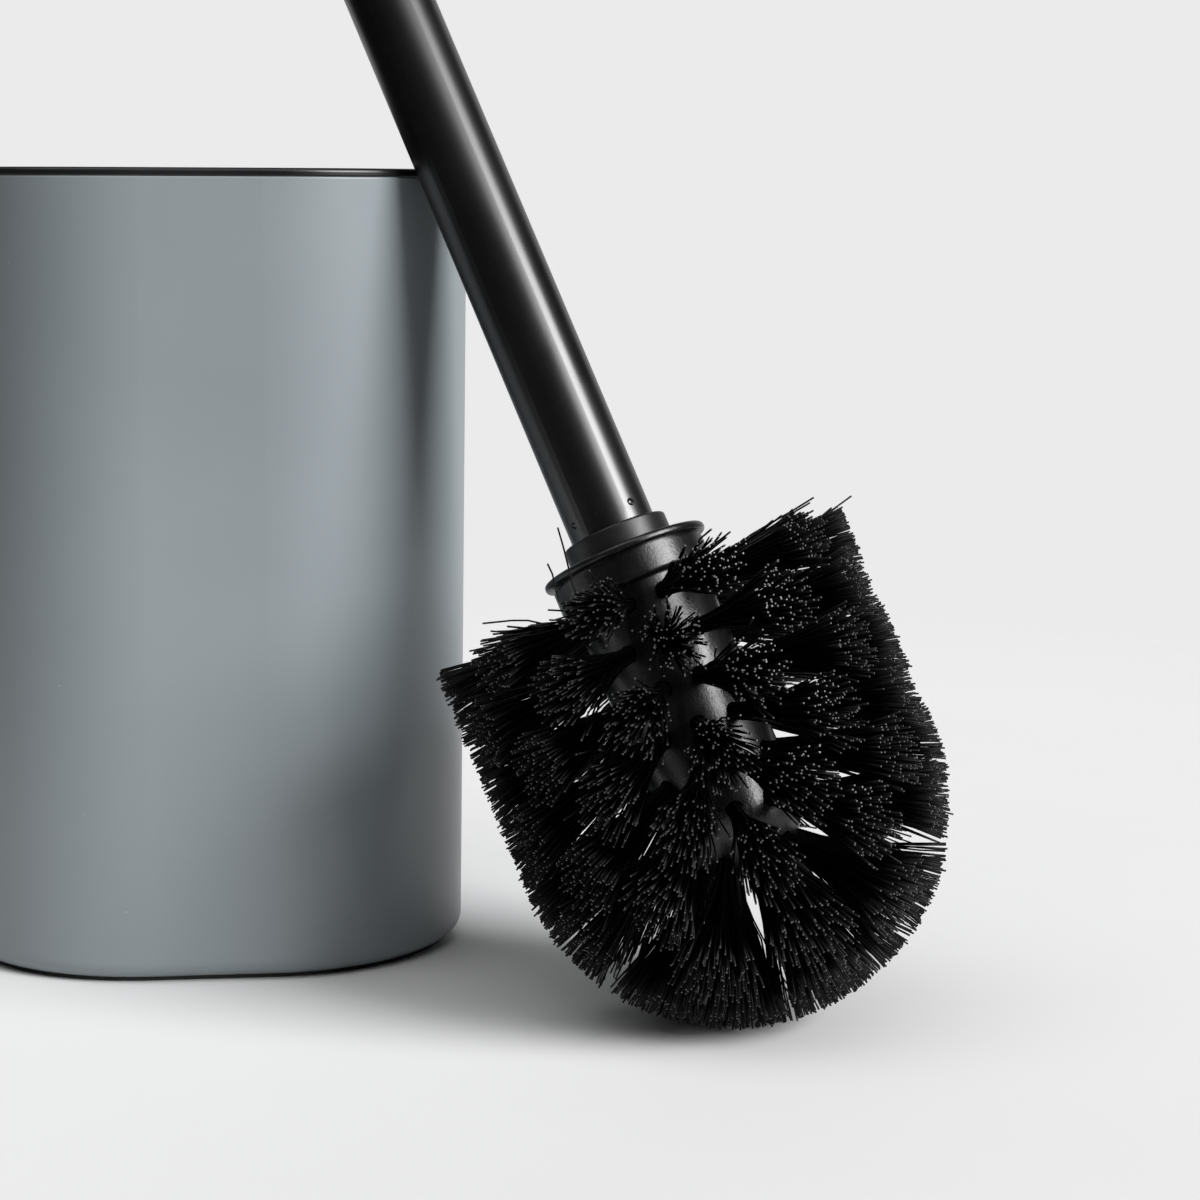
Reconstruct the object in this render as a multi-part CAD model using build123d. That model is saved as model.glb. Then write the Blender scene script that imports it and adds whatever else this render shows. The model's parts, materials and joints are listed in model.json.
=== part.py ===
from build123d import *
import math
import os

# Toilet brush and holder, in millimetres, +Z up. The origin is the middle of the holder's underside.
# The holder is a rounded-square canister with a lift-out liner. The brush stands beside it on its
# bristles, and its handle leans on the rounded corner of the liner's rim at +X -Y.

# Canister
canister_width = 106.0  # across the flats at the rim
canister_corner_radius = 41.3  # at the rim
canister_height = 155.1  # standing surface to the top of the shell's wall
wall_draft = 0.57  # degrees, narrower towards the bottom
shell_wall = 2.2
shell_floor = 2.5
shell_base_round = 3.5
shell_inner_round = 2.0
shell_lip_round = 0.35

# Pad under the canister
pad_height = 0.7
pad_inset = 3.0  # from the shell's side
pad_recess = 0.4  # how far the pad is let into the shell's floor

# Liner
liner_clearance = 0.4  # between the liner's wall and the shell's wall
liner_wall = 1.6
liner_floor = 1.8
liner_floor_gap = 1.5  # between the liner's underside and the shell's floor
liner_inner_round = 6.0
rim_thickness = 1.6
rim_top_round = 0.8
rim_under_round = 0.3

# Handle
tube_radius = 8.18
tube_wall = 0.8
tube_length = 310.0
plug_length = 26.0
plug_clearance = 0.05  # between plug or cap and the tube's bore
cap_insert_length = 12.0
cap_crown = 2.4
cap_round = 1.6
dent_count = 4
dent_radius = 0.9  # of the pressing tool's ball
dent_depth = 0.4
dent_height = 3.15  # above the tube's lower end
dent_first_angle = 71.0
dent_groove_clearance = 0.25

# Joint between handle and head
collar_radius = 10.1
collar_height = 4.5
collar_round = 0.5
collar_gap = 0.05  # between the collar and the flange
stud_radius = 4.95
stud_clearance = 0.05
thread_pitch = 3.0
thread_turns = 4
socket_spare = 1.0  # beyond the stud's end

# Head: distances go down the brush's axis from the middle of the flange
flange_radius = 16.06
flange_thickness = 1.6
flange_round = 0.7
groove_radius = 14.2
groove_depth = 0.7
neck_radius = 14.9
neck_length = 6.6
neck_round = 1.2
core_radius = 13.0
core_straight = 51.0  # to the centre of the rounded end

# Tufts: rings on the straight part of the core lean more towards its end from ring to ring
bristle_radius = 40.0
bristle_start = 7.5
bristle_straight = 50.3  # to the centre of the outline's rounded end
ring_count = 6
ring_first = 9.8  # first ring of holes
ring_pitch = 8.45
ring_tufts = 11
ring_first_angle = 52.7
ring_first_lean = 3.0
ring_lean_step = 4.5
# Holes in the rounded end: degrees below its equator, how many, and the first one's angle
dome_rings = {"dome_upper": (44.0, 9, 2.9), "dome_lower": (67.0, 5, 52.7), "tip": (90.0, 1, 0.0)}
hole_radius = 1.7
hole_depth = 4.0
tuft_clearance = 0.1
tuft_spread = 6.2  # radius of a tuft at flare_length from the core
flare_length = 27.0
tuft_length = 36.0  # before trimming, from the core's surface
anchor_thickness = 0.4
anchor_width = 1.3
anchor_clearance = 0.1

# Stance of the brush beside the canister
lean_tilt = 27.66  # degrees from upright
lean_heading = 139.48  # direction in plan in which the handle leans
stand_heading = -41.16  # direction of the head from the centre of the rim's corner
lean_gap = 0.25  # between the tube and the rim

cut_past = 1.0  # how far a cutting solid runs past the face that it opens

slope = math.tan(math.radians(wall_draft))
tilt = math.radians(lean_tilt)
rim_top = canister_height + rim_thickness
liner_inset = shell_wall + liner_clearance
cavity_inset = liner_inset + liner_wall
shell_floor_top = pad_height + shell_floor
liner_bottom = shell_floor_top + liner_floor_gap
tube_bore = tube_radius - tube_wall
flange_top = flange_thickness / 2
collar_bottom = flange_top + collar_gap
tube_bottom = collar_bottom + collar_height
stud_length = collar_height + thread_pitch * thread_turns


def wall_outline(height, inset):
    """Rounded square of the canister's wall at a height, moved inwards by inset."""
    shrink = slope * (canister_height - height) + inset
    side = canister_width - 2 * shrink
    outline = RectangleRounded(side, side, canister_corner_radius - shrink)
    return Plane.XY.offset(height) * outline


def wall_block(low, high, inset):
    """Solid inside the canister's drafted wall, between two heights."""
    return loft([wall_outline(low, inset), wall_outline(high, inset)], ruled=True)


def lowest_edges(solid):
    return solid.edges().group_by(Axis.Z)[0]


def highest_edges(solid):
    return solid.edges().group_by(Axis.Z)[-1]


def base_pad():
    return extrude(wall_outline(0, pad_inset), pad_height + pad_recess)


def outer_shell():
    body = wall_block(pad_height, canister_height, 0)
    body = fillet(lowest_edges(body), shell_base_round)
    body = fillet(highest_edges(body), shell_lip_round)
    hollow = wall_block(shell_floor_top, canister_height + cut_past, shell_wall)
    hollow = fillet(lowest_edges(hollow), shell_inner_round)
    return body - hollow - base_pad()


def inner_liner():
    body = wall_block(liner_bottom, canister_height, liner_inset)
    body = fillet(lowest_edges(body), liner_inner_round)
    rim = extrude(wall_outline(canister_height, 0), rim_thickness)
    rim = fillet(highest_edges(rim), rim_top_round)
    rim = fillet(lowest_edges(rim), rim_under_round)
    hollow = wall_block(liner_bottom + liner_floor, rim_top + cut_past, cavity_inset)
    hollow = fillet(lowest_edges(hollow), liner_inner_round)
    return body + rim - hollow


def cylinder_between(radius, low, high):
    """Cylinder on the Z axis between two heights."""
    return Pos(0, 0, low) * Cylinder(radius, high - low, align=(Align.CENTER, Align.CENTER, Align.MIN))


def dent_balls(radius):
    """Balls of the pressing tool round the tube's lower end."""
    reach = tube_radius - dent_depth + dent_radius
    height = tube_bottom + dent_height
    step = 360 / dent_count
    balls = Part()
    for index in range(dent_count):
        turn = Rot(0, 0, dent_first_angle + index * step)
        balls += turn * Pos(reach, 0, height) * Sphere(radius)
    return balls


def handle_tube():
    top = tube_bottom + tube_length
    tube = cylinder_between(tube_radius, tube_bottom, top) - cylinder_between(tube_bore, tube_bottom, top)
    bulges = dent_balls(dent_radius + tube_wall) & cylinder_between(tube_radius, tube_bottom, top)
    return tube + bulges - dent_balls(dent_radius)


def tube_plug():
    """Insert in the tube's lower end: a groove takes the dents, a blind bore takes the head's stud."""
    radius = tube_bore - plug_clearance
    plug = cylinder_between(radius, tube_bottom, tube_bottom + plug_length)
    groove_half = math.sqrt((dent_radius + tube_wall) ** 2 - (dent_radius + tube_wall - dent_depth) ** 2)
    groove_half += dent_groove_clearance
    middle = tube_bottom + dent_height
    floor = tube_bore - dent_depth - dent_groove_clearance
    band = cylinder_between(radius + cut_past, middle - groove_half, middle + groove_half)
    groove = band - cylinder_between(floor, middle - groove_half, middle + groove_half)
    bore_top = flange_top + stud_length + socket_spare
    return plug - groove - cylinder_between(stud_radius + stud_clearance, tube_bottom, bore_top)


def handle_cap():
    """Cap pressed into the tube's upper end, with a crown as wide as the tube."""
    top = tube_bottom + tube_length
    insert = cylinder_between(tube_bore - plug_clearance, top - cap_insert_length, top)
    crown = cylinder_between(tube_radius, top, top + cap_crown)
    return insert + fillet(highest_edges(crown), cap_round)


def collar_ring():
    ring = cylinder_between(collar_radius, collar_bottom, tube_bottom)
    ring = fillet(highest_edges(ring), collar_round)
    return ring - cylinder_between(stud_radius + stud_clearance, collar_bottom, tube_bottom)


def flange():
    disc = cylinder_between(flange_radius, -flange_top, flange_top)
    return fillet(disc.edges().filter_by(GeomType.CIRCLE), flange_round)


def core_body():
    """Flange, neck, stud and the rounded core, before the tuft holes."""
    groove = cylinder_between(groove_radius, -flange_top - groove_depth, -flange_top)
    neck = cylinder_between(neck_radius, -neck_length, -flange_top - groove_depth)
    neck = fillet(lowest_edges(neck), neck_round)
    core = cylinder_between(core_radius, -core_straight, -neck_length)
    end = Pos(0, 0, -core_straight) * Sphere(core_radius)
    stud = cylinder_between(stud_radius, flange_top, flange_top + stud_length)
    return flange() + groove + neck + core + end + stud


def ring_places(index):
    """Places of a ring's holes: the origin on the core's surface and +Z out of the hole."""
    depth = ring_first + index * ring_pitch
    lean = ring_first_lean + index * ring_lean_step
    step = 360 / ring_tufts
    first = ring_first_angle + step / 2 * (index % 2)
    return [
        Pos(0, 0, -depth) * Rot(0, 0, first + turn * step) * Pos(core_radius, 0, 0) * Rot(0, 90 + lean, 0)
        for turn in range(ring_tufts)
    ]


def dome_places(angle, count, first):
    """Places of the holes in the rounded end, at an angle below its equator."""
    step = 360 / count
    return [
        Pos(0, 0, -core_straight)
        * Rot(0, 0, first + turn * step)
        * Rot(0, 90 + angle, 0)
        * Pos(0, 0, core_radius)
        for turn in range(count)
    ]


def tuft_groups():
    groups = {f"ring_{index + 1}": ring_places(index) for index in range(ring_count)}
    for name, (angle, count, first) in dome_rings.items():
        groups[name] = dome_places(angle, count, first)
    return groups


def bristle_outline():
    """Solid of the trimmed bristles: a cylinder with a rounded end."""
    straight = cylinder_between(bristle_radius, -bristle_straight, -bristle_start)
    return straight + Pos(0, 0, -bristle_straight) * Sphere(bristle_radius)


def tuft():
    """One tuft along +Z from its hole to beyond the trimmed outline."""
    radius = hole_radius - tuft_clearance
    growth = (tuft_spread - radius) / flare_length
    stem = cylinder_between(radius, -hole_depth + anchor_thickness + 2 * anchor_clearance, 0)
    end_radius = radius + growth * tuft_length
    return stem + Cone(radius, end_radius, tuft_length, align=(Align.CENTER, Align.CENTER, Align.MIN))


def tuft_group(places, outline):
    return Compound([solid for place in places for solid in ((place * tuft()) & outline).solids()])


def anchor_group(places):
    """Flat wire staples that hold the tufts down, one across each hole's floor."""
    length = 2 * math.sqrt((hole_radius - anchor_clearance) ** 2 - (anchor_width / 2) ** 2)
    staple = Pos(0, 0, anchor_clearance - hole_depth) * Box(
        length, anchor_width, anchor_thickness, align=(Align.CENTER, Align.CENTER, Align.MIN)
    )
    return Compound([place * staple for place in places])


def brush_core(groups):
    hole = cylinder_between(hole_radius, -hole_depth, core_radius / 2)
    return core_body() - [place * hole for places in groups.values() for place in places]


def brush_place():
    """Place of the flange's middle when the head stands on the floor and the tube nears the rim."""
    drop = bristle_straight * math.cos(tilt) + bristle_radius
    round_centre_out = canister_corner_radius - rim_top_round
    round_centre_up = rim_top - rim_top_round
    reach = rim_top_round + tube_radius + lean_gap
    out = round_centre_out + (reach + (round_centre_up - drop) * math.sin(tilt)) / math.cos(tilt)
    corner = canister_width / 2 - canister_corner_radius
    stand = math.radians(stand_heading)
    heading = math.radians(lean_heading)
    middle = (corner + out * math.cos(stand), -corner + out * math.sin(stand), drop)
    axis = (math.sin(tilt) * math.cos(heading), math.sin(tilt) * math.sin(heading), math.cos(tilt))
    sideways = (-math.sin(heading), math.cos(heading), 0)
    return Plane(origin=middle, x_dir=sideways, z_dir=axis)


def brush_pieces():
    groups = tuft_groups()
    outline = bristle_outline()
    pieces = {
        "handle_tube": handle_tube(),
        "handle_cap": handle_cap(),
        "tube_plug": tube_plug(),
        "collar_ring": collar_ring(),
        "brush_core": brush_core(groups),
    }
    for name, places in groups.items():
        pieces[f"tufts_{name}"] = tuft_group(places, outline)
        pieces[f"anchors_{name}"] = anchor_group(places)
    return pieces


def main():
    os.makedirs("parts", exist_ok=True)
    place = brush_place()
    pieces = {"outer_shell": outer_shell(), "base_pad": base_pad(), "inner_liner": inner_liner()}
    for name, piece in brush_pieces().items():
        pieces[name] = place.location * piece
    for name, piece in pieces.items():
        export_step(piece, f"parts/{name}.step")
    middle = place.origin
    axis = place.z_dir
    print(f"brush axis through {middle.X:.3f} {middle.Y:.3f} {middle.Z:.3f}")
    print(f"towards the handle {axis.X:.6f} {axis.Y:.6f} {axis.Z:.6f}")


main()
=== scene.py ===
"""Toilet brush leaning on its rounded canister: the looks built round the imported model."""
import json
import math
import random

import bpy
import numpy as np
from mathutils import Matrix, Vector


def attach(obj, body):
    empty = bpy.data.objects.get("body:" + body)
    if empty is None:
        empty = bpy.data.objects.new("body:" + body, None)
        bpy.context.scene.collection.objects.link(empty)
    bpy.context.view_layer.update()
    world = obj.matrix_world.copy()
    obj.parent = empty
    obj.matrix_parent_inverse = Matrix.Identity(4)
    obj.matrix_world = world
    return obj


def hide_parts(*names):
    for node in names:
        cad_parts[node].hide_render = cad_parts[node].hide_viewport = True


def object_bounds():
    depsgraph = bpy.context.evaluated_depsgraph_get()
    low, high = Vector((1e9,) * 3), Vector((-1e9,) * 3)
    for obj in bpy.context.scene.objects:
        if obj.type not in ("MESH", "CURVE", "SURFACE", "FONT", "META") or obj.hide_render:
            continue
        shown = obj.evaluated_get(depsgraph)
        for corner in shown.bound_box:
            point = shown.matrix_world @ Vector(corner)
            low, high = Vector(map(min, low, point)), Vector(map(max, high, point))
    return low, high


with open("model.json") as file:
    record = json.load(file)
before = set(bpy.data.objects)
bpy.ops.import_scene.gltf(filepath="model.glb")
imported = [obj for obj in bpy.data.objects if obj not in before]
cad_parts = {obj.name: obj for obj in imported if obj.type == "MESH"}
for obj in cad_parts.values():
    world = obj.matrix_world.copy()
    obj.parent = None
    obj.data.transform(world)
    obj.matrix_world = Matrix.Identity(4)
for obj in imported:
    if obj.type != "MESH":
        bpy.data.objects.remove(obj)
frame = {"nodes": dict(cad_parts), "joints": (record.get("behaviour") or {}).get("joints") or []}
cad_low, cad_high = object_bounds()

MM = 0.001
scene = bpy.context.scene
scene.view_settings.view_transform = "Standard"
scene.view_settings.look = "None"
scene.view_settings.exposure = 0.0
scene.view_settings.gamma = 1.0


# ---------------------------------------------------------------- camera

CAMERA_PLACE = Vector((0.00767, -0.60306, 0.15313))
CAMERA_YAW = 0.1229  # towards +X
CAMERA_PITCH = 0.1412  # down
CAMERA_ROLL = -0.0045
CAMERA_LENS_MM = 86.87
SENSOR_MM = 36.0


def make_camera():
    forward = Vector((
        math.sin(CAMERA_YAW) * math.cos(CAMERA_PITCH),
        math.cos(CAMERA_YAW) * math.cos(CAMERA_PITCH),
        -math.sin(CAMERA_PITCH),
    ))
    level = Vector((math.cos(CAMERA_YAW), -math.sin(CAMERA_YAW), 0.0))
    below = forward.cross(level)
    right = math.cos(CAMERA_ROLL) * level + math.sin(CAMERA_ROLL) * below
    down = -math.sin(CAMERA_ROLL) * level + math.cos(CAMERA_ROLL) * below
    data = bpy.data.cameras.new("camera")
    data.lens = CAMERA_LENS_MM
    data.sensor_width = SENSOR_MM
    data.clip_start = 0.01
    data.clip_end = 100.0
    camera = bpy.data.objects.new("camera", data)
    scene.collection.objects.link(camera)
    turn = Matrix((right, -down, -forward)).transposed()
    camera.matrix_world = Matrix.Translation(CAMERA_PLACE) @ turn.to_4x4()
    scene.camera = camera


make_camera()


# ---------------------------------------------------------------- node helpers

def new_group(name, inputs, outputs):
    """An empty shader node group with float, colour or vector sockets."""
    group = bpy.data.node_groups.new(name, "ShaderNodeTree")
    for label, kind, value in inputs:
        socket = group.interface.new_socket(name=label, in_out="INPUT", socket_type=kind)
        socket.default_value = value
    for label, kind in outputs:
        group.interface.new_socket(name=label, in_out="OUTPUT", socket_type=kind)
    entry = group.nodes.new("NodeGroupInput")
    leave = group.nodes.new("NodeGroupOutput")
    return group, entry, leave


def add(tree, kind, settings=None, **inputs):
    """A node with its settings, and each input set to a value or linked from a socket.

    An input goes by its name, with _ for a space, or by i and its number, as in i0.
    """
    node = tree.nodes.new(kind)
    for key, value in (settings or {}).items():
        setattr(node, key, value)
    for key, value in inputs.items():
        numbered = key[0] == "i" and key[1:].isdigit()
        set_input(tree, node.inputs[int(key[1:]) if numbered else key.replace("_", " ")], value)
    return node


def set_input(tree, socket, value):
    if isinstance(value, bpy.types.NodeSocket):
        tree.links.new(value, socket)
    else:
        socket.default_value = value


def math_node(tree, operation, first, second=0.5):
    return add(tree, "ShaderNodeMath", {"operation": operation}, i0=first, i1=second).outputs[0]


def spread(tree, value, low, high, to_low=0.0, to_high=1.0, smooth=False):
    settings = {"interpolation_type": "SMOOTHSTEP"} if smooth else {}
    node = add(tree, "ShaderNodeMapRange", settings, i0=value, i1=low, i2=high, i3=to_low, i4=to_high)
    return node.outputs[0]


def blend_colours(tree, factor, first, second):
    """The Mix node's colour inputs are its sockets 6 and 7, and its colour output is socket 2."""
    node = add(tree, "ShaderNodeMix", {"data_type": "RGBA"}, i0=factor, i6=first, i7=second)
    return node.outputs[2]


def texture_scale(tree, size_mm):
    """Scale of a texture in metres whose features are of a size in millimetres."""
    return math_node(tree, "DIVIDE", 1.0 / MM, size_mm)


FLOAT, VECTOR = "NodeSocketFloat", "NodeSocketVector"


# ---------------------------------------------------------------- effects shared by several finishes

PIT_SHARE = 0.35  # how deep the grain's pits are beside its noise
RUBBED_SPAN = 2.5  # rubbed marks are this much larger than the mottle


def make_mould_grain():
    """Fine spark-eroded grain of a moulding: a height, and a slow mottle between 0 and 1."""
    group, entry, leave = new_group(
        "mould_grain",
        [("Grain Size", FLOAT, 0.4), ("Mottle Size", FLOAT, 12.0), ("Depth", FLOAT, 1.0)],
        [("Height", FLOAT), ("Mottle", FLOAT)],
    )
    place = add(group, "ShaderNodeTexCoord").outputs["Object"]
    fine = texture_scale(group, entry.outputs["Grain Size"])
    slow = texture_scale(group, entry.outputs["Mottle Size"])
    grain = add(group, "ShaderNodeTexNoise", Vector=place, Scale=fine, Detail=3.0, Roughness=0.6)
    pits = add(group, "ShaderNodeTexVoronoi", {"feature": "F1"}, Vector=place, Scale=fine)
    mottle = add(group, "ShaderNodeTexNoise", Vector=place, Scale=slow, Detail=4.0, Roughness=0.55)
    mixed = math_node(group, "MULTIPLY_ADD", pits.outputs["Distance"], PIT_SHARE)
    group.links.new(grain.outputs["Fac"], mixed.node.inputs[2])
    group.links.new(math_node(group, "MULTIPLY", mixed, entry.outputs["Depth"]), leave.inputs["Height"])
    group.links.new(spread(group, mottle.outputs["Fac"], 0.3, 0.7), leave.inputs["Mottle"])
    return group


def make_dust_specks():
    """Sparse pale specks on a surface, all over it: a mask of 0 or 1."""
    group, entry, leave = new_group(
        "dust_specks",
        [("Spacing", FLOAT, 4.0), ("Speck Size", FLOAT, 0.06), ("Share", FLOAT, 0.3)],
        [("Mask", FLOAT)],
    )
    place = add(group, "ShaderNodeTexCoord").outputs["Object"]
    scale = texture_scale(group, entry.outputs["Spacing"])
    cells = add(group, "ShaderNodeTexVoronoi", {"feature": "F1"}, Vector=place, Scale=scale, Randomness=1.0)
    close = math_node(group, "LESS_THAN", cells.outputs["Distance"], entry.outputs["Speck Size"])
    shade = add(group, "ShaderNodeSeparateColor", Color=cells.outputs["Color"])
    chosen = math_node(group, "LESS_THAN", shade.outputs[0], entry.outputs["Share"])
    group.links.new(math_node(group, "MULTIPLY", close, chosen), leave.inputs["Mask"])
    return group


def make_rubbed_marks():
    """Faint wiped and rubbed streaks: a mask between 0 and 1 that changes the gloss."""
    group, entry, leave = new_group(
        "rubbed_marks",
        [("Size", FLOAT, 30.0), ("Amount", FLOAT, 1.0)],
        [("Mask", FLOAT)],
    )
    place = add(group, "ShaderNodeTexCoord").outputs["Object"]
    stretched = add(group, "ShaderNodeMapping", Vector=place, Scale=(1.0, 1.0, 0.35))
    scale = texture_scale(group, entry.outputs["Size"])
    clouds = add(
        group, "ShaderNodeTexNoise",
        Vector=stretched.outputs[0], Scale=scale, Detail=6.0, Roughness=0.62, Distortion=0.4,
    )
    mask = spread(group, clouds.outputs["Fac"], 0.42, 0.72, smooth=True)
    group.links.new(math_node(group, "MULTIPLY", mask, entry.outputs["Amount"]), leave.inputs["Mask"])
    return group


MOULD_GRAIN = make_mould_grain()
DUST_SPECKS = make_dust_specks()
RUBBED_MARKS = make_rubbed_marks()


def use_group(tree, group, **inputs):
    return add(tree, "ShaderNodeGroup", {"node_tree": group}, **inputs)


def new_finish(name, **constants):
    """A material with a Principled shader and its constants; returns material, tree and shader."""
    material = bpy.data.materials.new(name)
    material.use_nodes = True
    tree = material.node_tree
    shader = next(n for n in tree.nodes if n.type == "BSDF_PRINCIPLED")
    for key, value in constants.items():
        shader.inputs[key.replace("_", " ")].default_value = value
    return material, tree, shader


def set_bump(tree, shader, height, depth_mm, strength=1.0):
    bump = add(tree, "ShaderNodeBump", Height=height, Distance=depth_mm * MM, Strength=strength)
    tree.links.new(bump.outputs[0], shader.inputs["Normal"])


def moulded_finish(
    name, dark, light, roughness, rough_swing, grain_mm, grain_depth_mm, mottle_mm=14.0,
    speck_share=0.0, speck_colour=(0.3, 0.3, 0.3, 1.0), speck_spacing=5.0, speck_size=0.05, specular=0.5,
):
    """Moulded plastic or rubber: mottled colour, fine grain, rubbed gloss and a few dust specks."""
    material, tree, shader = new_finish(name, Specular_IOR_Level=specular)
    grain = use_group(tree, MOULD_GRAIN, Grain_Size=grain_mm, Mottle_Size=mottle_mm, Depth=1.0)
    rubbed = use_group(tree, RUBBED_MARKS, Size=mottle_mm * RUBBED_SPAN, Amount=1.0)
    colour = blend_colours(tree, grain.outputs["Mottle"], dark, light)
    if speck_share > 0:
        specks = use_group(
            tree, DUST_SPECKS, Spacing=speck_spacing, Speck_Size=speck_size, Share=speck_share
        )
        colour = blend_colours(tree, specks.outputs["Mask"], colour, speck_colour)
    tree.links.new(colour, shader.inputs["Base Color"])
    rough = spread(tree, rubbed.outputs["Mask"], 0.0, 1.0, roughness + rough_swing, roughness - rough_swing)
    tree.links.new(rough, shader.inputs["Roughness"])
    set_bump(tree, shader, grain.outputs["Height"], grain_depth_mm)
    return material


# ---------------------------------------------------------------- finishes

SHELL_PLASTIC = moulded_finish(
    "satin_blue_grey_shell", (0.217, 0.246, 0.262, 1), (0.233, 0.263, 0.279, 1),
    roughness=0.33, rough_swing=0.02, grain_mm=0.35, grain_depth_mm=0.006, mottle_mm=45.0,
    speck_share=0.03, speck_colour=(0.42, 0.44, 0.45, 1), speck_spacing=4.0, speck_size=0.035,
)
PAD_RUBBER = moulded_finish(
    "black_pad_rubber", (0.012, 0.012, 0.012, 1), (0.022, 0.022, 0.021, 1),
    roughness=0.8, rough_swing=0.05, grain_mm=0.7, grain_depth_mm=0.03,
)
LINER_PLASTIC = moulded_finish(
    "black_liner", (0.006, 0.006, 0.007, 1), (0.011, 0.011, 0.012, 1),
    roughness=0.3, rough_swing=0.05, grain_mm=0.4, grain_depth_mm=0.006, mottle_mm=20.0,
)
TUBE_COATING = moulded_finish(
    "black_coated_tube", (0.0016, 0.0016, 0.0017, 1), (0.0034, 0.0033, 0.0032, 1),
    roughness=0.27, rough_swing=0.03, grain_mm=0.22, grain_depth_mm=0.002, mottle_mm=9.0,
    speck_share=0.12, speck_colour=(0.07, 0.07, 0.07, 1), speck_spacing=2.4, speck_size=0.04, specular=0.9,
)
BLACK_PLASTIC = moulded_finish(
    "black_collar_plastic", (0.003, 0.003, 0.0032, 1), (0.008, 0.008, 0.0083, 1),
    roughness=0.36, rough_swing=0.05, grain_mm=0.3, grain_depth_mm=0.008, mottle_mm=6.0,
)
CORE_PLASTIC = moulded_finish(
    "black_core_plastic", (0.0008, 0.0008, 0.0008, 1), (0.0035, 0.0035, 0.0035, 1),
    roughness=0.27, rough_swing=0.07, grain_mm=0.6, grain_depth_mm=0.035, mottle_mm=2.2, specular=0.6,
)


def make_staple_steel():
    material, tree, shader = new_finish("wire_staple_steel", Metallic=1.0, Specular_IOR_Level=0.5)
    grain = use_group(tree, MOULD_GRAIN, Grain_Size=0.2, Mottle_Size=2.0, Depth=1.0)
    colour = blend_colours(tree, grain.outputs["Mottle"], (0.42, 0.41, 0.4, 1), (0.58, 0.57, 0.55, 1))
    tree.links.new(colour, shader.inputs["Base Color"])
    rough = spread(tree, grain.outputs["Mottle"], 0.0, 1.0, 0.28, 0.42)
    tree.links.new(rough, shader.inputs["Roughness"])
    set_bump(tree, shader, grain.outputs["Height"], 0.004)
    return material


STAPLE_STEEL = make_staple_steel()


def make_filament():
    """Black nylon filament: a touch greyer towards the trimmed end, its gloss differing from strand to
    strand.
    """
    material, tree, shader = new_finish("black_nylon_filament", Specular_IOR_Level=0.14)
    along = add(tree, "ShaderNodeAttribute", {"attribute_name": "along"}).outputs["Fac"]
    strand = add(tree, "ShaderNodeAttribute", {"attribute_name": "strand"}).outputs["Fac"]
    grain = use_group(tree, MOULD_GRAIN, Grain_Size=0.25, Mottle_Size=1.6, Depth=1.0)
    deep = blend_colours(tree, strand, (0.0006, 0.0006, 0.0007, 1), (0.0016, 0.0016, 0.0017, 1))
    tip_share = spread(tree, along, 0.82, 1.0, 0.0, 0.45, smooth=True)
    colour = blend_colours(tree, tip_share, deep, (0.004, 0.004, 0.0042, 1))
    tree.links.new(colour, shader.inputs["Base Color"])
    rough = spread(tree, strand, 0.0, 1.0, 0.32, 0.5)
    tree.links.new(rough, shader.inputs["Roughness"])
    set_bump(tree, shader, grain.outputs["Height"], 0.01)
    return material


def make_cut_end():
    """The filaments' sheared faces: whitened where the blade passed."""
    material, tree, shader = new_finish("cut_filament_end", Specular_IOR_Level=0.5)
    strand = add(tree, "ShaderNodeAttribute", {"attribute_name": "strand"}).outputs["Fac"]
    grain = use_group(tree, MOULD_GRAIN, Grain_Size=0.12, Mottle_Size=0.8, Depth=1.0)
    base = blend_colours(tree, strand, (0.035, 0.035, 0.036, 1), (0.13, 0.13, 0.132, 1))
    colour = blend_colours(tree, grain.outputs["Mottle"], base, (0.05, 0.05, 0.05, 1))
    tree.links.new(colour, shader.inputs["Base Color"])
    rough = spread(tree, strand, 0.0, 1.0, 0.5, 0.35)
    tree.links.new(rough, shader.inputs["Roughness"])
    set_bump(tree, shader, grain.outputs["Height"], 0.02)
    return material


FILAMENT = make_filament()
CUT_END = make_cut_end()

FINISHES = {
    "outer_shell": SHELL_PLASTIC,
    "base_pad": PAD_RUBBER,
    "inner_liner": LINER_PLASTIC,
    "handle_tube": TUBE_COATING,
    "handle_cap": BLACK_PLASTIC,
    "tube_plug": BLACK_PLASTIC,
    "collar_ring": BLACK_PLASTIC,
    "brush_core": CORE_PLASTIC,
}


def finish_cad_pieces():
    for name, node in frame["nodes"].items():
        material = STAPLE_STEEL if name.startswith("anchors_") else FINISHES.get(name)
        if material is None:
            continue
        node.data.materials.clear()
        node.data.materials.append(material)


finish_cad_pieces()


# ---------------------------------------------------------------- bristles
# Brush axes: +Z runs up the handle from the middle of the flange, +X is level. Millimetres.

CORE_RADIUS = 13.0
OUTLINE_RADIUS = 40.7
OUTLINE_START = -7.5
OUTLINE_CENTRE = -50.3  # of the rounded end
DOME_CENTRE = -51.0  # of the core's rounded end
RING_COUNT = 6
RING_FIRST = 9.8
RING_PITCH = 8.45
RING_TUFTS = 11
FIRST_ANGLE = 52.7
FIRST_LEAN = 3.0
LEAN_STEP = 4.5
# Degrees below the rounded end's equator, how many tufts, and the first one's angle
DOME_RINGS = {"dome_upper": (44.0, 9, 2.9), "dome_lower": (67.0, 5, 52.7), "tip": (90.0, 1, 0.0)}

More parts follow.
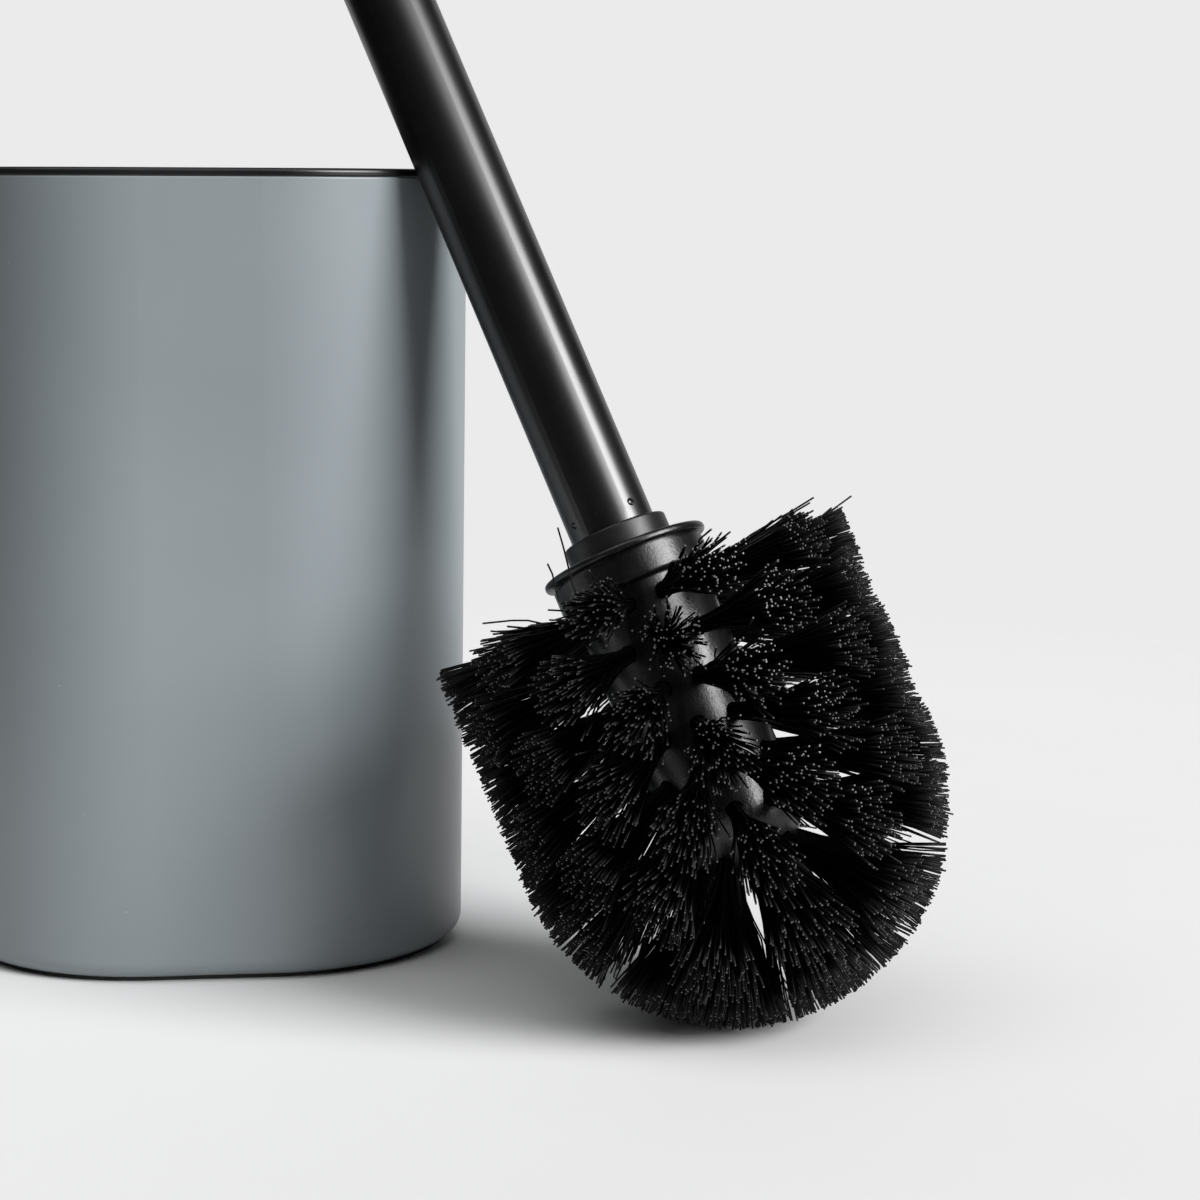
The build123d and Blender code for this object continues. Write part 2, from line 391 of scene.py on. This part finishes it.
BRISTLE_SEED = 41
TUFT_FILAMENTS = 104
TUFT_SPREAD = 4  # filaments more or fewer in a tuft
BUNDLE_RADIUS = 1.42
PLACE_TURN = 0.35  # how far a filament's place in the bundle turns, in radians
PLACE_SHIFT = 0.06  # and moves, as a share of the bundle's radius
FILAMENT_RADIUS = 0.18
RADIUS_SPREAD = (0.9, 1.08)
FAN_ALONG = 5.2  # half-width of a tuft at FAN_REACH from the core, along the brush
FAN_ROUND = 4.8  # and round it
FAN_REACH = 27.0
LAST_RING_FAN_ALONG = 6.6  # the last ring also covers the step to the rounded end
DOME_FAN_ALONG = 7.2
DOME_FAN_ROUND = 7.4  # the rounded end has fewer tufts, so they open wider
FAN_SCATTER_ALONG = 0.45
FAN_SCATTER_ROUND = 0.38
FAN_TAPER = 0.12  # a tuft is this much narrower at its ends along the brush
FIRST_RING_FAN = 0.8  # the first ring opens less towards the flange
TRIM_SCATTER = 0.22
ROOT_DEPTH = 2.6
END_SPLAY = 1.35  # the filaments turn outwards towards their ends
ROOT_HOLD = 0.3  # share of the length that keeps the hole's direction
END_HOLD = 0.36  # and the end's direction
WAVE_SIZE = (0.05, 0.2)
STRAY_WAVE_SIZE = (0.25, 0.6)
WAVE_COUNT = (1.1, 2.6)  # waves in a filament's length
WAVE_TURN = 6.28  # radians in one wave
WAVE_GROWTH = 2.2  # how fast the waves grow to their full size along a filament
SIDES = 5
SEGMENTS = 7
STRAY_SHARE = 0.05
STRAY_TOP = 0.5  # how high the first ring's strays may end
STRAY_FAN_ALONG = (1.1, 1.6)
STRAY_FAN_ROUND = (1.1, 1.7)
STRAY_LENGTH = (-1.5, 0.8)

OUTLINE_FAR = 80.0  # further than any filament reaches
OUTLINE_HALVINGS = 26


def brush_place():
    screw = next(joint for joint in frame["joints"] if joint["name"] == "head_unscrew")
    up = -Vector(screw["axis"]).normalized()
    level = Vector((0, 0, 1)).cross(up).normalized()
    third = up.cross(level)
    turn = np.array([level, third, up]).T
    return turn, np.array(screw["pos_m"])


BRUSH_TURN, BRUSH_MIDDLE = brush_place()
FLOOR_LEVEL = cad_low.z  # the lowest filaments bend where they rest on it


def tuft_places():
    """Root and direction of every tuft, by the name of its group."""
    groups = {}
    for ring in range(RING_COUNT):
        lean = math.radians(FIRST_LEAN + ring * LEAN_STEP)
        step = 360.0 / RING_TUFTS
        first = FIRST_ANGLE + step / 2 * (ring % 2)
        places = []
        for turn in range(RING_TUFTS):
            angle = math.radians(first + turn * step)
            out = np.array((math.cos(angle), math.sin(angle), 0.0))
            root = out * CORE_RADIUS + np.array((0.0, 0.0, -RING_FIRST - ring * RING_PITCH))
            places.append((root, out * math.cos(lean) - np.array((0.0, 0.0, math.sin(lean)))))
        groups[f"ring_{ring + 1}"] = places
    for name, (below, count, first) in DOME_RINGS.items():
        places = []
        for turn in range(count):
            angle = math.radians(first + turn * 360.0 / count)
            tilt = math.radians(below)
            way = np.array((
                math.cos(tilt) * math.cos(angle), math.cos(tilt) * math.sin(angle), -math.sin(tilt)
            ))
            places.append((np.array((0.0, 0.0, DOME_CENTRE)) + way * CORE_RADIUS, way))
        groups[name] = places
    return groups


def unit(vector):
    return vector / np.linalg.norm(vector)


def reach_to_outline(start, way, top=OUTLINE_START):
    """Distance along a straight line from inside the trimmed outline to its surface."""
    low, high = 0.0, OUTLINE_FAR
    for _ in range(OUTLINE_HALVINGS):
        middle = (low + high) / 2
        point = start + way * middle
        if point[2] > OUTLINE_CENTRE:
            inside = math.hypot(point[0], point[1]) < OUTLINE_RADIUS and point[2] < top
        else:
            inside = np.linalg.norm(point - np.array((0, 0, OUTLINE_CENTRE))) < OUTLINE_RADIUS
        if inside:
            low = middle
        else:
            high = middle
    return low


def disc_places(count, draw):
    """Evenly scattered places in a unit disc."""
    golden = math.pi * (3 - math.sqrt(5))
    places = []
    for index in range(count):
        radius = math.sqrt((index + 0.5) / count)
        angle = index * golden + draw.uniform(-PLACE_TURN, PLACE_TURN)
        radius = min(1.0, max(0.0, radius + draw.uniform(-PLACE_SHIFT, PLACE_SHIFT)))
        places.append((radius * math.cos(angle), radius * math.sin(angle)))
    return places


def fan_size(group):
    """Half-widths of a group's tufts at FAN_REACH, along the brush and round it."""
    if group == f"ring_{RING_COUNT}":
        return LAST_RING_FAN_ALONG, FAN_ROUND
    if group.startswith("ring"):
        return FAN_ALONG, FAN_ROUND
    return DOME_FAN_ALONG, DOME_FAN_ROUND


def filament_path(root, way, across, sideways, place, draw, group):
    """Points of one filament's centre line, from inside the hole to its trimmed end."""
    u, v = place
    start = root + BUNDLE_RADIUS * (u * across + v * sideways)
    half_along, half_round = fan_size(group)
    along_fan = u * half_along + draw.gauss(0, FAN_SCATTER_ALONG)
    round_fan = v * half_round * (1 - FAN_TAPER * abs(u) ** 3) + draw.gauss(0, FAN_SCATTER_ROUND)
    top = OUTLINE_START
    stray = draw.random() < STRAY_SHARE
    if group == "ring_1" and along_fan > 0:
        along_fan *= FIRST_RING_FAN
        if stray:
            top = STRAY_TOP
    if stray:
        along_fan *= draw.uniform(*STRAY_FAN_ALONG)
        round_fan *= draw.uniform(*STRAY_FAN_ROUND)
    aim = unit(way * FAN_REACH + across * along_fan + sideways * round_fan)
    length = reach_to_outline(start, aim, top) + draw.gauss(0, TRIM_SCATTER)
    if stray:
        length += draw.uniform(*STRAY_LENGTH)
    end = start + aim * length
    final = unit(way * FAN_REACH + across * along_fan * END_SPLAY + sideways * round_fan * END_SPLAY)
    first_hold = start + way * length * ROOT_HOLD
    second_hold = end - final * length * END_HOLD
    wave = draw.uniform(*(STRAY_WAVE_SIZE if stray else WAVE_SIZE))
    pace = draw.uniform(*WAVE_COUNT)
    phase_a, phase_b = draw.uniform(0, WAVE_TURN), draw.uniform(0, WAVE_TURN)
    points = [start - way * ROOT_DEPTH]
    for step in range(SEGMENTS):
        t = step / (SEGMENTS - 1)
        point = (
            (1 - t) ** 3 * start + 3 * (1 - t) ** 2 * t * first_hold
            + 3 * (1 - t) * t * t * second_hold + t ** 3 * end
        )
        swell = wave * min(1.0, t * WAVE_GROWTH)
        point = point + across * swell * math.sin(pace * WAVE_TURN * t + phase_a)
        point = point + sideways * swell * math.sin(pace * WAVE_TURN * t + phase_b)
        points.append(point)
    return np.array(points)


# Bent filaments of the first ring that stand up beside the neck: angle round the brush, then the
# distance from the axis and the height of each point they pass.
CURLED_STRAYS = [
    (-32.0, [(16.0, -9.5), (20.5, -6.8), (20.0, -2.5), (18.2, 2.6), (17.2, 8.0)]),
    (-40.0, [(16.0, -9.6), (21.0, -8.2), (22.5, -4.0), (20.2, -0.5), (20.8, 2.4)]),
    (-80.0, [(16.0, -9.4), (18.0, -6.3), (22.0, -3.6), (26.0, -2.6), (29.5, -1.6)]),
    (72.0, [(16.0, -9.4), (19.0, -7.0), (25.0, -5.8), (31.5, -5.6), (38.0, -4.8)]),
    (81.0, [(16.0, -9.4), (18.5, -6.8), (25.5, -6.4), (30.0, -5.2), (36.0, -4.6)]),
    (95.0, [(16.0, -9.8), (24.0, -8.8), (31.0, -8.0), (37.0, -7.0), (44.0, -5.2)]),
    (190.0, [(16.0, -9.6), (21.0, -7.6), (25.5, -5.4), (30.5, -5.2), (36.0, -3.4)]),
    (232.0, [(16.0, -9.6), (23.0, -8.8), (30.5, -7.6), (36.5, -6.4), (43.0, -5.6)]),
]
FRONT_SIDE = 32.9  # angle round the brush that faces the front of the set
CURL_ROOT_DEPTH = 1.5
CURL_SOFTENING = 0.2  # share of each neighbour that rounds off a point


def curled_path(angle, places):
    """A filament's centre line through five given places, spread over the usual number of points."""
    turn = math.radians(FRONT_SIDE + angle)
    out = np.array((math.cos(turn), math.sin(turn), 0.0))
    knots = [out * (CORE_RADIUS - CURL_ROOT_DEPTH) + np.array((0, 0, places[0][1]))]
    knots += [out * far + np.array((0, 0, high)) for far, high in places]
    stops = np.linspace(0, len(knots) - 1, SEGMENTS + 1)
    points = np.stack([np.interp(stops, range(len(knots)), axis) for axis in np.array(knots).T], axis=1)
    soft = points.copy()
    soft[1:-1] = points[1:-1] * (1 - 2 * CURL_SOFTENING) + (points[:-2] + points[2:]) * CURL_SOFTENING
    return soft


PATH_POINTS = SEGMENTS + 1
TUBE_CORNERS = PATH_POINTS * SIDES


def tube_corners(paths, radii):
    """Corners of every filament in the world, ring by ring from its root to its end."""
    radii = np.array(radii) * MM
    paths = (np.array(paths) @ BRUSH_TURN.T) * MM + BRUSH_MIDDLE
    paths[:, :, 2] = np.maximum(paths[:, :, 2], FLOOR_LEVEL + radii[:, None])
    tangents = np.gradient(paths, axis=1)
    tangents /= np.linalg.norm(tangents, axis=2, keepdims=True)
    helper = np.where(
        np.abs(tangents[:, :1, 2:3]) > 0.9, np.array((1.0, 0.0, 0.0)), np.array((0.0, 0.0, 1.0))
    )
    first = np.cross(tangents, np.broadcast_to(helper, tangents.shape))
    first /= np.linalg.norm(first, axis=2, keepdims=True)
    second = np.cross(tangents, first)
    angles = np.arange(SIDES) * 2 * math.pi / SIDES
    radii = radii[:, None, None, None]
    rings = paths[:, :, None, :] + radii * (
        first[:, :, None, :] * np.cos(angles)[None, None, :, None]
        + second[:, :, None, :] * np.sin(angles)[None, None, :, None]
    )
    return rings.reshape(-1, 3)


def tube_faces():
    """Faces of one filament: its sides, the cap at its root and, last, the cut end."""
    faces = []
    for low in range(0, TUBE_CORNERS - SIDES, SIDES):
        for side in range(SIDES):
            other = (side + 1) % SIDES
            faces.append((low + side, low + other, low + SIDES + other, low + SIDES + side))
    faces.append(tuple(reversed(range(SIDES))))
    faces.append(tuple(range(TUBE_CORNERS - SIDES, TUBE_CORNERS)))
    return faces


def tube_mesh(name, paths, radii, shades):
    """One mesh of closed many-sided filaments, whose cut ends take the second material."""
    count = len(paths)
    one = tube_faces()
    starts = range(0, count * TUBE_CORNERS, TUBE_CORNERS)
    faces = [tuple(start + corner for corner in face) for start in starts for face in one]
    materials = ([0] * (len(one) - 1) + [1]) * count
    mesh = bpy.data.meshes.new(name)
    mesh.from_pydata(tube_corners(paths, radii).tolist(), [], faces)
    mesh.polygons.foreach_set("material_index", materials)
    mesh.polygons.foreach_set("use_smooth", [material == 0 for material in materials])
    along = mesh.attributes.new("along", "FLOAT", "POINT")
    levels = np.repeat(np.linspace(0.0, 1.0, PATH_POINTS), SIDES)
    along.data.foreach_set("value", np.tile(levels, count).tolist())
    strand = mesh.attributes.new("strand", "FLOAT", "POINT")
    strand.data.foreach_set("value", np.repeat(np.array(shades), TUBE_CORNERS).tolist())
    mesh.materials.append(FILAMENT)
    mesh.materials.append(CUT_END)
    mesh.update()
    return mesh


STEEP = 0.95  # a tuft steeper than this fans out along +X, not along the brush


def make_bristles():
    draw = random.Random(BRISTLE_SEED)
    for name, places in tuft_places().items():
        paths, radii, shades = [], [], []
        for root, way in places:
            reference = np.array((0.0, 0.0, 1.0) if abs(way[2]) < STEEP else (1.0, 0.0, 0.0))
            across = unit(reference - way * np.dot(reference, way))
            sideways = np.cross(way, across)
            filaments = TUFT_FILAMENTS + draw.randint(-TUFT_SPREAD, TUFT_SPREAD)
            for place in disc_places(filaments, draw):
                paths.append(filament_path(root, way, across, sideways, place, draw, name))
                radii.append(FILAMENT_RADIUS * draw.uniform(*RADIUS_SPREAD))
                shades.append(draw.random())
        if name == "ring_1":
            for curl in CURLED_STRAYS:
                paths.append(curled_path(*curl))
                radii.append(FILAMENT_RADIUS)
                shades.append(draw.random())
        mesh = tube_mesh(f"bristles_{name}", paths, radii, shades)
        piece = bpy.data.objects.new(f"bristles_{name}", mesh)
        scene.collection.objects.link(piece)
        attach(piece, "head")
        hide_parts(f"tufts_{name}")


make_bristles()


# ---------------------------------------------------------------- floor and light

FLOOR_RADIUS = 0.56
FLOOR_FADE_START = 0.34
FLOOR_SIDES = 96
FLOOR_RINGS = 12
FLOOR_FADE_END = 0.98  # share of the radius
FLOOR_GAP = 0.0001  # the sheet lies this far under what stands on it
PAPER_DARK = (0.79, 0.79, 0.79, 1)
PAPER_LIGHT = (0.8, 0.8, 0.8, 1)
BACKDROP = (0.83, 0.83, 0.83, 1)


def make_floor():
    """A round sheet of pale paper under the object, fading into the backdrop's colour."""
    corners, faces = [(0.0, 0.0, 0.0)], []
    for ring in range(FLOOR_RINGS):
        radius = FLOOR_RADIUS * (ring + 1) / FLOOR_RINGS
        for side in range(FLOOR_SIDES):
            angle = side * 2 * math.pi / FLOOR_SIDES
            corners.append((radius * math.cos(angle), radius * math.sin(angle), 0.0))
    for side in range(FLOOR_SIDES):
        other = (side + 1) % FLOOR_SIDES
        faces.append((0, 1 + side, 1 + other))
        for ring in range(FLOOR_RINGS - 1):
            low = 1 + ring * FLOOR_SIDES
            faces.append((low + side, low + FLOOR_SIDES + side, low + FLOOR_SIDES + other, low + other))
    mesh = bpy.data.meshes.new("paper_floor")
    mesh.from_pydata(corners, [], faces)
    material, tree, shader = new_finish("pale_paper", Roughness=0.8, Specular_IOR_Level=0.1)
    place = add(tree, "ShaderNodeTexCoord").outputs["Object"]
    grain = use_group(tree, MOULD_GRAIN, Grain_Size=1.2, Mottle_Size=60.0, Depth=1.0)
    colour = blend_colours(tree, grain.outputs["Mottle"], PAPER_DARK, PAPER_LIGHT)
    tree.links.new(colour, shader.inputs["Base Color"])
    distance = add(tree, "ShaderNodeVectorMath", {"operation": "LENGTH"}, i0=place).outputs["Value"]
    shown = spread(tree, distance, FLOOR_FADE_START, FLOOR_RADIUS * FLOOR_FADE_END, 1.0, 0.0, smooth=True)
    tree.links.new(shown, shader.inputs["Alpha"])
    mesh.materials.append(material)
    floor = bpy.data.objects.new("paper_floor", mesh)
    middle = (cad_low + cad_high) / 2
    floor.location = (middle.x, middle.y, cad_low.z - FLOOR_GAP)
    scene.collection.objects.link(floor)


# Light comes from soft panels so far away that the whole floor is lit alike. Each panel is a place in
# the sky: azimuth from -Y towards +X, elevation, half-width and half-height in degrees, brightness.
SKY_PANELS = {
    "key_right_front": (51.0, 27.0, 14.0, 15.0, 19.2),
    "overhead": (-25.0, 68.0, 38.0, 20.0, 1.42),
    "backdrop": (180.0, 12.0, 48.0, 30.0, 0.6),
}
SKY_FILL = 0.02
PANEL_EDGE = 0.35  # share of a panel's half-size over which it fades out
AHEAD_LEAST = 0.01  # cosine under which a direction counts as behind the panel


def make_sky_panel():
    """A soft rectangular panel in the sky: its brightness in the direction looked in."""
    group, entry, leave = new_group(
        "sky_panel",
        [
            ("Middle", VECTOR, (0, 0, 1)), ("Level", VECTOR, (1, 0, 0)), ("Upward", VECTOR, (0, 1, 0)),
            ("Half Width", FLOAT, 0.3), ("Half Height", FLOAT, 0.3), ("Brightness", FLOAT, 1.0),
        ],
        [("Light", FLOAT)],
    )
    look = add(group, "ShaderNodeTexCoord").outputs["Generated"]

    def along(label):
        way = entry.outputs[label]
        node = add(group, "ShaderNodeVectorMath", {"operation": "DOT_PRODUCT"}, i0=look, i1=way)
        return node.outputs["Value"]

    ahead = along("Middle")
    facing = math_node(group, "GREATER_THAN", ahead, AHEAD_LEAST)
    safe = math_node(group, "MAXIMUM", ahead, AHEAD_LEAST)
    light = math_node(group, "MULTIPLY", facing, entry.outputs["Brightness"])
    for label, half in (("Level", "Half Width"), ("Upward", "Half Height")):
        offset = math_node(group, "ABSOLUTE", math_node(group, "DIVIDE", along(label), safe))
        share = math_node(group, "DIVIDE", offset, entry.outputs[half])
        inside = spread(group, share, 1.0 - PANEL_EDGE, 1.0 + PANEL_EDGE, 1.0, 0.0, smooth=True)
        light = math_node(group, "MULTIPLY", light, inside)
    group.links.new(light, leave.inputs["Light"])
    return group


def make_world():
    """A dim room with soft panels of light; seen directly it matches the lit floor."""
    world = bpy.data.worlds.new("soft_panel_room")
    world.use_nodes = True
    tree = world.node_tree
    tree.nodes.clear()
    panel = make_sky_panel()
    total = SKY_FILL
    for azimuth, elevation, half_width, half_height, brightness in SKY_PANELS.values():
        around, up = math.radians(azimuth), math.radians(elevation)
        middle = Vector((math.sin(around) * math.cos(up), -math.cos(around) * math.cos(up), math.sin(up)))
        level = Vector((math.cos(around), math.sin(around), 0.0))
        light = use_group(
            tree, panel, Middle=middle, Level=level, Upward=middle.cross(level),
            Half_Width=math.tan(math.radians(half_width)), Half_Height=math.tan(math.radians(half_height)),
            Brightness=brightness,
        )
        total = math_node(tree, "ADD", light.outputs["Light"], total)
    seen = add(tree, "ShaderNodeBackground", Color=BACKDROP, Strength=1.0)
    lit = add(tree, "ShaderNodeBackground", Color=(1.0, 1.0, 1.0, 1), Strength=total)
    direct = add(tree, "ShaderNodeLightPath").outputs["Is Camera Ray"]
    mixed = add(tree, "ShaderNodeMixShader", i0=direct, i1=lit.outputs[0], i2=seen.outputs[0])
    output = add(tree, "ShaderNodeOutputWorld")
    tree.links.new(mixed.outputs[0], output.inputs["Surface"])
    scene.world = world


make_floor()
make_world()
